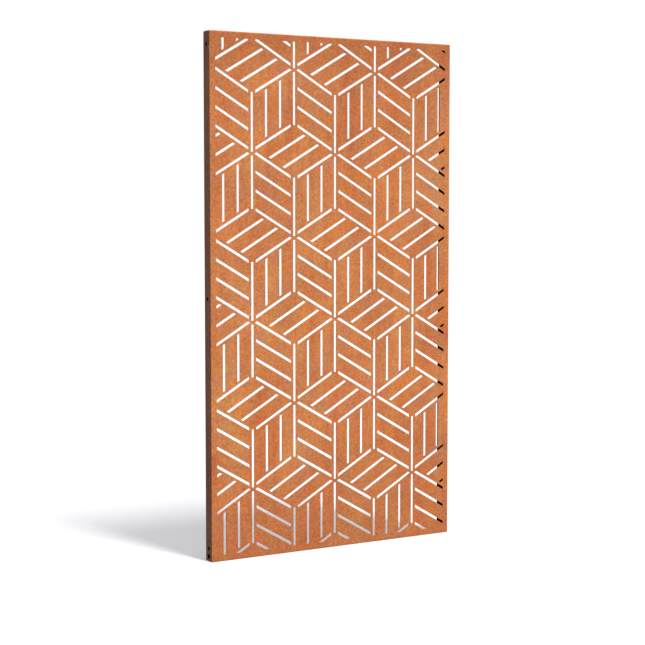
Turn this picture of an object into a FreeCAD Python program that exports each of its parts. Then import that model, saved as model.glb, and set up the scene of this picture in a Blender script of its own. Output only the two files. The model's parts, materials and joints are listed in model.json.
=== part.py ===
import FreeCAD, Part
import math
import os

from FreeCAD import Vector

# Corten steel fence panel, millimetres. X runs across the panel, Y from its front to its back, Z up.
# The origin is at the middle of the panel's foot, halfway through its depth.

# Overall size
panel_width = 1100.0
panel_height = 2000.0
panel_depth = 50.0

# Sheet metal
sheet = 2.0  # thickness of the face and the rims
inside_radius = 2.0  # inside the dressed front edges, the corners and the rear folds
side_lip = 20.0  # lip folded inwards at the back of each side rim

# Cut pattern of stacked cubes
cube_edge = 213.7
slot_width = 10.0
web = 10.0  # metal left between two slots
border = 25.0  # plain margin round the pattern
node_below_middle = 83.0  # from the panel's middle down to the nearest six-way node
upright_overshoot = 6.5  # how far an upright slot runs past a three-way node
upper_upright_drop = 4.0  # the upright slot above a six-way node starts this far below the node
lower_upright_drop = 18.5  # the upright slot under a six-way node starts this far below the node

# Holes in the side rims, halfway through the panel's depth
bolt_hole = 16.0
bolt_end_distance = 50.0  # from the panel's top and foot to the end holes
foot_hole = 21.0
foot_hole_height = 20.0

# Planes and lines that several pieces share
edge_radius = inside_radius + sheet
side_x = panel_width / 2
front_y = -panel_depth / 2
back_y = panel_depth / 2
bend_x = side_x - edge_radius
bend_front_y = front_y + edge_radius
bend_back_y = back_y - edge_radius
bend_low_z = edge_radius
bend_high_z = panel_height - edge_radius
web_x = side_x - sheet  # inner face of the right side rim
lip_x = side_x - side_lip
lip_y = back_y - sheet
along_x = Vector(1, 0, 0)
along_y = Vector(0, 1, 0)
along_z = Vector(0, 0, 1)
middle = Vector(0, 0, panel_height / 2)

# Directions across the three families of lattice lines, as (x, z)
slope = math.pi / 6  # the slanting lines of a cube seen corner-on
across = (1.0, 0.0)
upward = (0.0, 1.0)
across_rising = (-math.sin(slope), math.cos(slope))
across_falling = (math.sin(slope), math.cos(slope))
pitch = cube_edge * math.cos(slope)  # distance between neighbouring lines of a family


def clip(points, axis, limit):
    """Keep the part of a convex outline where its distance along the axis is at most the limit."""
    kept = []
    for i, here in enumerate(points):
        before = points[i - 1]
        over_here = here[0] * axis[0] + here[1] * axis[1] - limit
        over_before = before[0] * axis[0] + before[1] * axis[1] - limit
        if over_here * over_before < 0:
            share = over_before / (over_before - over_here)
            kept.append(tuple(b + share * (h - b) for b, h in zip(before, here)))
        if over_here <= 0:
            kept.append(here)
    return kept


def area(points):
    pairs = zip(points, points[1:] + points[:1])
    return abs(sum(a[0] * b[1] - b[0] * a[1] for a, b in pairs)) / 2


def slot_rules():
    """The twelve slots round a six-way node, each as bands (axis, low, high) measured from the node."""
    half = slot_width / 2
    near = half + web
    far = pitch - near
    tip = cube_edge + upright_overshoot
    beyond = pitch * 2  # past the far end of any slot
    rules = [
        [(across, -half, half), (upward, -upper_upright_drop, tip)],
        [(across, -half, half), (upward, -tip, -lower_upright_drop)],
        [(across_falling, -half, half), (across, -far, -near)],
        [(across_rising, -half, half), (across, near, far)],
        [(across_rising, -half, half), (across, -far, half), (across_falling, -beyond, -near)],
        [(across_falling, -half, half), (across, -half, far), (across_rising, -beyond, -near)],
    ]
    for third in (pitch / 3, pitch * 2 / 3):
        rules.append([(across_falling, third - half, third + half), (across, -far, -near)])
        rules.append([(across, third - half, third + half), (across_rising, near, far)])
        rules.append([(across_rising, -third - half, -third + half), (across_falling, near, far)])
    return rules


def lattice_nodes():
    """Six-way nodes of the cube pattern that have slots on the panel."""
    row_step = cube_edge * 1.5
    outside = 2  # columns and rows past the panel's edge whose slots can still reach onto it
    columns = math.ceil(side_x / pitch) + outside
    rows = math.ceil(panel_height / 2 / row_step) + outside
    middle_z = panel_height / 2 - node_below_middle
    for column in range(-columns, columns + 1):
        for row in range(-rows, rows + 1):
            if (column + row) % 2 == 0:
                yield column * pitch, middle_z + row * row_step


def slot_outlines():
    """Every slot of the pattern, cut off straight at the border, without remnants too small to cut."""
    left, right = border - side_x, side_x - border
    low, high = border, panel_height - border
    window = [(left, low), (right, low), (right, high), (left, high)]
    for node in lattice_nodes():
        for bands in slot_rules():
            outline = window
            for axis, lowest, highest in bands:
                at_node = node[0] * axis[0] + node[1] * axis[1]
                outline = clip(outline, axis, at_node + highest)
                outline = clip(outline, (-axis[0], -axis[1]), -(at_node + lowest))
            if area(outline) > sheet * sheet:
                yield outline


def closed_wire(points):
    return Part.makePolygon(points + points[:1])


def face_sheet():
    """The laser-cut front, flat between the dressed edges."""
    rim = [(-bend_x, bend_low_z), (bend_x, bend_low_z), (bend_x, bend_high_z), (-bend_x, bend_high_z)]
    wires = [
        closed_wire([Vector(x, front_y, z) for x, z in outline])
        for outline in [rim, *slot_outlines()]
    ]
    face = Part.makeFace(wires, "Part::FaceMakerBullseye")
    return face.extrude(along_y * sheet)


def quarter(centre, radius, first, second):
    """A quarter circle about the centre, from the first direction to the second."""
    halfway = (first + second).normalize()
    return Part.Arc(*(centre + way * radius for way in (first, halfway, second))).toShape()


def outline_face(*edges):
    return Part.Face(Part.Wire(Part.sortEdges(edges)[0]))


def chain(*points):
    """Straight edges through (x, y) points in the plane where the corners' rounding starts."""
    ends = [Vector(x, y, bend_low_z) for x, y in points]
    return [Part.makeLine(a, b) for a, b in zip(ends, ends[1:])]


def side_holes():
    """Cutters for the holes through the right side rim."""
    holes = [(foot_hole, foot_hole_height)]
    for height in (bolt_end_distance, panel_height / 2, panel_height - bolt_end_distance):
        holes.append((bolt_hole, height))
    return [Part.makeCylinder(d / 2, side_lip * 2, Vector(lip_x, 0, z), along_x) for d, z in holes]


def right_rim():
    """The right side rim. Its lip reaches past the web to butt against the top and bottom rims."""
    fold = Vector(bend_x, bend_back_y, bend_low_z)
    section = outline_face(
        *chain((web_x, bend_back_y), (web_x, bend_front_y), (side_x, bend_front_y), (side_x, bend_back_y)),
        quarter(fold, edge_radius, along_x, along_y),
        *chain((bend_x, back_y), (lip_x, back_y), (lip_x, lip_y), (bend_x, lip_y)),
        quarter(fold, inside_radius, along_y, along_x),
    )
    rim = section.extrude(along_z * (bend_high_z - bend_low_z))
    lip = Part.makeBox(bend_x - lip_x, sheet, panel_height - sheet * 2, Vector(lip_x, lip_y, sheet))
    return rim.fuse(lip).removeSplitter().cut(side_holes()).Solids[0]


def bottom_rim():
    corner = Vector(-bend_x, bend_front_y, 0)
    return Part.makeBox(bend_x * 2, back_y - bend_front_y, sheet, corner)


def edge_bead(outward, length):
    """Quarter ring of weld metal from the face's edge round to a rim, dressed flush with both."""
    centre = Vector(bend_x, bend_front_y, bend_low_z)
    outer = quarter(centre, edge_radius, -along_y, outward)
    inner = quarter(centre, inside_radius, -along_y, outward)
    ends = [Part.makeLine(o.Point, i.Point) for o, i in zip(outer.Vertexes, inner.Vertexes)]
    return outline_face(outer, inner, *ends).extrude(length)


def right_edge_weld():
    return edge_bead(along_x, along_z * (bend_high_z - bend_low_z))


def bottom_edge_weld():
    return edge_bead(-along_z, along_x * (-bend_x * 2))


def bottom_right_corner_weld():
    """The corner bead, a section of the side rim and its front edge turned through a quarter circle."""
    centre = Vector(bend_x, bend_front_y, bend_low_z)
    section = outline_face(
        quarter(centre, edge_radius, -along_y, along_x),
        *chain((side_x, bend_front_y), (side_x, bend_back_y), (web_x, bend_back_y), (web_x, bend_front_y)),
        quarter(centre, inside_radius, along_x, -along_y),
        *chain((bend_x, front_y + sheet), (bend_x, front_y)),
    )
    return section.revolve(centre, along_y, 90)


def to_left(shape):
    return shape.mirror(middle, along_x)


def to_top(shape):
    return shape.mirror(middle, along_z)


right_side_rim = right_rim()
low_rim = bottom_rim()
right_bead = right_edge_weld()
low_bead = bottom_edge_weld()
corner_bead = bottom_right_corner_weld()

pieces = {
    "face_sheet": face_sheet(),
    "left_rim": to_left(right_side_rim),
    "right_rim": right_side_rim,
    "top_rim": to_top(low_rim),
    "bottom_rim": low_rim,
    "left_edge_weld": to_left(right_bead),
    "right_edge_weld": right_bead,
    "top_edge_weld": to_top(low_bead),
    "bottom_edge_weld": low_bead,
    "bottom_right_corner_weld": corner_bead,
    "bottom_left_corner_weld": to_left(corner_bead),
    "top_right_corner_weld": to_top(corner_bead),
    "top_left_corner_weld": to_left(to_top(corner_bead)),
}

os.makedirs("parts", exist_ok=True)
for name, shape in pieces.items():
    shape.exportStep(f"parts/{name}.step")
    print(name, shape.ShapeType, shape.isValid(), round(shape.Volume, 1), shape.BoundBox)
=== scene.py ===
import json
import math

import bpy
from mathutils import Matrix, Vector


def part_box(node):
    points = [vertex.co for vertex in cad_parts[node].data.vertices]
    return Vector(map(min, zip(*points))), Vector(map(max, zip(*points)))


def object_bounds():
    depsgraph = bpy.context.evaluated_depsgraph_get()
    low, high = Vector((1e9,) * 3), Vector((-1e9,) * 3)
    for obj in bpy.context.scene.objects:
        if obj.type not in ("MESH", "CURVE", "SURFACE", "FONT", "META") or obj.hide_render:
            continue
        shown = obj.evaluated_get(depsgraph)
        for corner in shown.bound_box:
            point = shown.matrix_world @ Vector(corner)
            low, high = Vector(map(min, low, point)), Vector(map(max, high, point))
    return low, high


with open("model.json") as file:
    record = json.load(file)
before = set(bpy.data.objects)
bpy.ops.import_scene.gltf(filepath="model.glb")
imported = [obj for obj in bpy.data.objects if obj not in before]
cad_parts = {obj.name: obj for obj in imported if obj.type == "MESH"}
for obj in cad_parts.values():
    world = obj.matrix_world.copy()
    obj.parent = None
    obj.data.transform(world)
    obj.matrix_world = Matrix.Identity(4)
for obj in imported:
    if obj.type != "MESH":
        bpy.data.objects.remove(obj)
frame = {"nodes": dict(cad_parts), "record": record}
cad_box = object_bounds()

# Faces of the panel and half the thickness of its sheet, in metres
FRONT_Y = cad_box[0].y
SIDE_X, BACK_Y, TOP_Z = cad_box[1]
HALF_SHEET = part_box("bottom_rim")[1].z / 2

# The photo's camera, fitted to the corners of the face
CAMERA_PLACE = (-3.3628, -5.4134, 1.3681)
CAMERA_TURN = (math.radians(85.714), 0.0, math.radians(-31.523))
CAMERA_LENS = 90.49  # on a 36 mm sensor

# Studio light. Places are azimuth from the front towards the right and elevation, and spreads are how wide
# and how high a light looks from the panel, all in degrees. Strengths are in watts per square metre there
KEY_PLACE = (10.2, 65.1)
KEY_SPREAD = (7.4, 18.4)
KEY_STRENGTH = 2.75
FRONT_PLACE = (18.0, 22.0)
FRONT_SPREAD = 80.0
FRONT_STRENGTH = 1.16
LIGHT_DISTANCE = 1000.0
SKY = (0.34, 0.34, 0.35, 1.0)
WHITE = (1.0, 1.0, 1.0, 1.0)

# The floor's colour for bounced light and for the camera, and what is added to the second to make it white
FLOOR_SIZE = 80.0
FLOOR_BOUNCE = (0.30, 0.30, 0.30, 1.0)
FLOOR_SEEN = (0.598, 0.598, 0.598, 1.0)
FLOOR_GLOW = (0.333, 0.339, 0.362, 1.0)

# Noise in the patina: features per metre along x, y and z, octaves, and how much the finer octaves count
LAYERS = {
    "patches": ((4.0, 4.0, 4.0), 7.0, 0.68),
    "orange": ((21.0, 21.0, 12.6), 5.0, 0.70),
    "tan": ((11.7, 13.0, 10.4), 6.0, 0.72),
    "streaks": ((42.0, 42.0, 2.2), 4.0, 0.60),
    "warmth": ((12.0, 12.0, 2.5), 3.0, 0.60),
    "flecks": ((75.0, 75.0, 75.0), 3.0, 0.70),
    "pits": ((105.0, 105.0, 105.0), 4.0, 0.65),
    "grain": ((130.0, 130.0, 130.0), 4.0, 0.70),
}

# Tones laid over the deep one, under the grain and then over it: which tone, the layer that places it,
# the values of that layer between which it comes in, and the share that it covers past them
COATS = (
    ("light", "patches", (0.36, 0.62), 1.0),
    ("orange", "orange", (0.46, 0.64), 0.8),
    ("tan", "tan", (0.47, 0.64), 0.8),
    ("dark", "streaks", (0.50, 0.72), 0.45),
)
FLECK_COAT = ("fleck", "flecks", (0.58, 0.72), 0.6)
SPECK_VALUES = (0.59, 0.72)
RUST_BLOOM_VALUES = (0.54, 0.72)

# Heights between which the colour darkens towards the top and towards the foot, and by how much
TOP_BAND = (TOP_Z - 0.18, TOP_Z - 0.03)
TOP_DARKNESS = 0.7
FOOT_BAND = (0.42, 0.05)
FOOT_DARKNESS = 0.55

# Where the dressed edges turn from the face's tone to the rims' darker tone, which is painted shade:
# distances from the middle, and depths
SIDE_BAND = (SIDE_X - 0.0030, SIDE_X - 0.0003)
REAR_BAND = (FRONT_Y + 0.0025, FRONT_Y + 0.0040)

# Shifts of hue: the share of the streaks between redder and paler, and finer tints as features per metre
# and share
WARMTH_SHARE = 0.35
UNCHANGED = 0.5  # what leaves a channel as it is when it is laid over it
TINTS = ((30.0, 0.16), (95.0, 0.20))
TINT_OCTAVES = 3.0

# How far the grain takes red, green and blue to each side of its middle
GRAIN_VALUES = (0.25, 0.75)
GRAIN_MIDDLE = 0.99
GRAIN_REACH = (0.23, 0.45, 0.70)

# Relief and sheen
GRAIN_HEIGHT = 0.7
PIT_HEIGHT = 0.5
RELIEF_DEPTH = 0.0006
RELIEF_STRENGTH = 0.35
ROUGHNESS_VALUES = (0.3, 0.7)
ROUGHNESS = (0.78, 0.94)
SPECULAR = 0.22

# How many times brighter the rubbed edges are than the face
EDGE_WEAR = 1.14


def srgb(red, green, blue):
    """A colour given in 8-bit display values, as linear RGBA."""
    parts = [value / 255 for value in (red, green, blue)]
    linear = [p / 12.92 if p <= 0.04045 else ((p + 0.055) / 1.055) ** 2.4 for p in parts]
    return (*linear, 1.0)


FACE_TONE = {
    "deep": srgb(187, 109, 62),
    "light": srgb(218, 138, 82),
    "orange": srgb(218, 127, 61),
    "tan": srgb(196, 126, 87),
    "dark": srgb(183, 106, 62),
    "speck": srgb(142, 78, 42),
    "fleck": srgb(232, 146, 84),
}
# Painted shade: the rims are the same rust as the face, given darker tones
PAINTED_SHADE_RIM_TONE = {
    "deep": srgb(132, 90, 68),
    "light": srgb(144, 102, 78),
    "orange": srgb(140, 98, 68),
    "tan": srgb(134, 98, 80),
    "dark": srgb(122, 82, 64),
    "speck": srgb(96, 66, 52),
    "fleck": srgb(152, 106, 80),
    # Inside the rims: near-black mill scale with painted shade, and rust blooms on it
    "scale_and_shade": srgb(12, 10, 9),
    "scale_rust_and_shade": srgb(66, 40, 27),
}
# The dressed edges are rubbed brighter than the face, and turn as brown as the rims beside them, whose
# darker tone is painted shade
WELD_TONE = {name: (*(EDGE_WEAR * part for part in colour[:3]), 1.0) for name, colour in FACE_TONE.items()}
WELD_TONE["side"] = srgb(137, 95, 72)

# Each material slot's tones, and the share that its dark specks cover
FINISHES = {
    "face_patina": (FACE_TONE, 0.65),
    # The rims' darker tones are painted shade
    "rim_patina": (PAINTED_SHADE_RIM_TONE, 0.40),
    "weld_patina": (WELD_TONE, 0.35),
}


class Graph:
    """Builds a node tree. A value given to an input is either a plain value or another node's output."""

    def __init__(self, owner):
        owner.use_nodes = True
        self.tree = owner.node_tree
        self.tree.nodes.clear()

    def node(self, kind, inputs=None, **settings):
        made = self.tree.nodes.new(kind)
        for name, value in settings.items():
            setattr(made, name, value)
        for key, value in (inputs or {}).items():
            if isinstance(value, bpy.types.NodeSocket):
                self.tree.links.new(value, made.inputs[key])
            else:
                made.inputs[key].default_value = value
        return made

    def math(self, operation, first, second=0.0):
        return self.node("ShaderNodeMath", {0: first, 1: second}, operation=operation).outputs[0]

    def noise(self, place, features, octaves, roughness):
        spread = self.node("ShaderNodeMapping", {"Vector": place, "Scale": features}).outputs[0]
        inputs = {"Vector": spread, "Scale": 1.0, "Detail": octaves, "Roughness": roughness}
        return self.node("ShaderNodeTexNoise", inputs).outputs["Fac"]

    def between(self, value, limits, results=(0.0, 1.0)):
        """The value taken from between the limits to between the results, and held there."""
        inputs = {"Value": value}
        inputs["From Min"], inputs["From Max"] = limits
        inputs["To Min"], inputs["To Max"] = results
        return self.node("ShaderNodeMapRange", inputs).outputs[0]

    def colour(self, red, green, blue):
        return self.node("ShaderNodeCombineColor", {0: red, 1: green, 2: blue}).outputs[0]

    def mix(self, share, first, second, blend="MIX"):
        """A blend of two colours. The node's colour sockets are its inputs 6 and 7 and its output 2."""
        inputs = {0: share, 6: first, 7: second}
        return self.node("ShaderNodeMix", inputs, data_type="RGBA", blend_type=blend).outputs[2]

    def seen(self):
        """1 where the camera, a reflection or something clear looks, and 0 for light that only bounces."""
        path = self.node("ShaderNodeLightPath").outputs
        direct = self.math("MAXIMUM", path["Is Camera Ray"], path["Is Glossy Ray"])
        return self.math("MAXIMUM", direct, path["Is Transmission Ray"])


def patina(name, tones, speck_share):
    """Weathered steel: tones of rust in patches, streaks and grain, and inside the rims dark mill scale
    with painted shade.
    """
    material = bpy.data.materials.new(name)
    g = Graph(material)
    place = g.node("ShaderNodeTexCoord").outputs["Object"]
    x, y, z = g.node("ShaderNodeSeparateXYZ", {0: place}).outputs
    from_middle = g.math("ABSOLUTE", x)
    layers = {layer: g.noise(place, *settings) for layer, settings in LAYERS.items()}

    def coated(under, tone, layer, values, share):
        return g.mix(g.between(layers[layer], values, (0.0, share)), under, tones[tone])

    colour = tones["deep"]
    for coat in COATS:
        colour = coated(colour, *coat)
    top = g.between(z, TOP_BAND, (0.0, TOP_DARKNESS))
    foot = g.between(z, FOOT_BAND, (0.0, FOOT_DARKNESS))
    colour = g.mix(g.math("MAXIMUM", top, foot), colour, tones["dark"])
    # Painted shade: at the sides and rear the edges turn to the rims' darker tone
    if "side" in tones:
        turned = g.math("MAXIMUM", g.between(from_middle, SIDE_BAND), g.between(y, REAR_BAND))
        colour = g.mix(turned, colour, tones["side"])

    paler = g.colour(UNCHANGED, layers["warmth"], layers["warmth"])
    colour = g.mix(WARMTH_SHARE, colour, paler, "OVERLAY")
    for features, share in TINTS:
        inputs = {"Vector": place, "Scale": features, "Detail": TINT_OCTAVES}
        tint = g.node("ShaderNodeTexNoise", inputs).outputs["Color"]
        colour = g.mix(share, colour, tint, "OVERLAY")
    reaches = [(GRAIN_MIDDLE - reach, GRAIN_MIDDLE + reach) for reach in GRAIN_REACH]
    shade = g.colour(*(g.between(layers["grain"], GRAIN_VALUES, reach) for reach in reaches))
    colour = g.mix(1.0, colour, shade, "MULTIPLY")
    colour = coated(colour, *FLECK_COAT)
    colour = coated(colour, "speck", "pits", SPECK_VALUES, speck_share)

    # Inside the rims: near-black mill scale with painted shade, and rust blooms on it
    if "scale_and_shade" in tones:
        inner = g.math("LESS_THAN", from_middle, SIDE_X - HALF_SHEET)
        for test, value, limit in (
            ("LESS_THAN", y, BACK_Y - HALF_SHEET),
            ("GREATER_THAN", z, HALF_SHEET),
            ("LESS_THAN", z, TOP_Z - HALF_SHEET),
        ):
            inner = g.math("MULTIPLY", inner, g.math(test, value, limit))
        bloom = g.between(layers["tan"], RUST_BLOOM_VALUES)
        colour = g.mix(inner, colour, g.mix(bloom, tones["scale_and_shade"], tones["scale_rust_and_shade"]))

    grain_height = g.math("MULTIPLY", layers["grain"], GRAIN_HEIGHT)
    height = g.math("ADD", grain_height, g.math("MULTIPLY", layers["pits"], PIT_HEIGHT))
    relief = {"Strength": RELIEF_STRENGTH, "Distance": RELIEF_DEPTH, "Height": height}
    surface = g.node("ShaderNodeBsdfPrincipled", {
        "Base Color": colour,
        "Roughness": g.between(layers["orange"], ROUGHNESS_VALUES, ROUGHNESS),
        "Specular IOR Level": SPECULAR,
        "Normal": g.node("ShaderNodeBump", relief).outputs[0],
    })
    g.node("ShaderNodeOutputMaterial", {"Surface": surface.outputs[0]})
    return material


materials = {slot: patina(slot, *finish) for slot, finish in FINISHES.items()}
for part in frame["record"]["subparts"]:
    for held in frame["nodes"][part["node"]].material_slots:
        held.material = materials[part["material_slot"]]


def add(name, data):
    """A new object in the scene."""
    made = bpy.data.objects.new(name, data)
    bpy.context.scene.collection.objects.link(made)
    return made


def lamp(name, kind, place, **settings):
    """A soft, even light from far away on the panel's front side."""
    azimuth, elevation = (math.radians(angle) for angle in place)
    data = bpy.data.lights.new(name, kind)
    for setting, value in settings.items():
        setattr(data, setting, value)
    made = add(name, data)
    made.rotation_euler = (math.pi / 2 - elevation, 0.0, azimuth)
    made.location = made.rotation_euler.to_matrix() @ Vector((0.0, 0.0, LIGHT_DISTANCE))


key_width, key_height = (2 * LIGHT_DISTANCE * math.tan(math.radians(angle / 2)) for angle in KEY_SPREAD)
key_power = KEY_STRENGTH * math.pi * LIGHT_DISTANCE ** 2
lamp("key_light", "AREA", KEY_PLACE, shape="ELLIPSE", size=key_width, size_y=key_height, energy=key_power)
lamp("front_light", "SUN", FRONT_PLACE, angle=math.radians(FRONT_SPREAD), energy=FRONT_STRENGTH)

world = bpy.data.worlds.new("studio")
bpy.context.scene.world = world
sky = Graph(world)
backdrop = sky.node("ShaderNodeBackground", {"Color": sky.mix(sky.seen(), SKY, WHITE)})
sky.node("ShaderNodeOutputWorld", {"Surface": backdrop.outputs[0]})

floor_paint = bpy.data.materials.new("floor_paint")
paint = Graph(floor_paint)
lit = paint.node("ShaderNodeBsdfDiffuse", {"Color": paint.mix(paint.seen(), FLOOR_BOUNCE, FLOOR_SEEN)})
glow = paint.node("ShaderNodeEmission", {"Color": FLOOR_GLOW, "Strength": paint.seen()})
both = paint.node("ShaderNodeAddShader", {0: lit.outputs[0], 1: glow.outputs[0]})
paint.node("ShaderNodeOutputMaterial", {"Surface": both.outputs[0]})

half = FLOOR_SIZE / 2
ground = bpy.data.meshes.new("floor")
corners = [(-half, -half, 0), (half, -half, 0), (half, half, 0), (-half, half, 0)]
ground.from_pydata(corners, [], [(0, 1, 2, 3)])
ground.materials.append(floor_paint)
floor = add("floor", ground)

camera_data = bpy.data.cameras.new("camera")
camera_data.lens = CAMERA_LENS
camera = add("camera", camera_data)
camera.location = CAMERA_PLACE
camera.rotation_euler = CAMERA_TURN
bpy.context.scene.camera = camera
bpy.context.scene.view_settings.view_transform = "Standard"
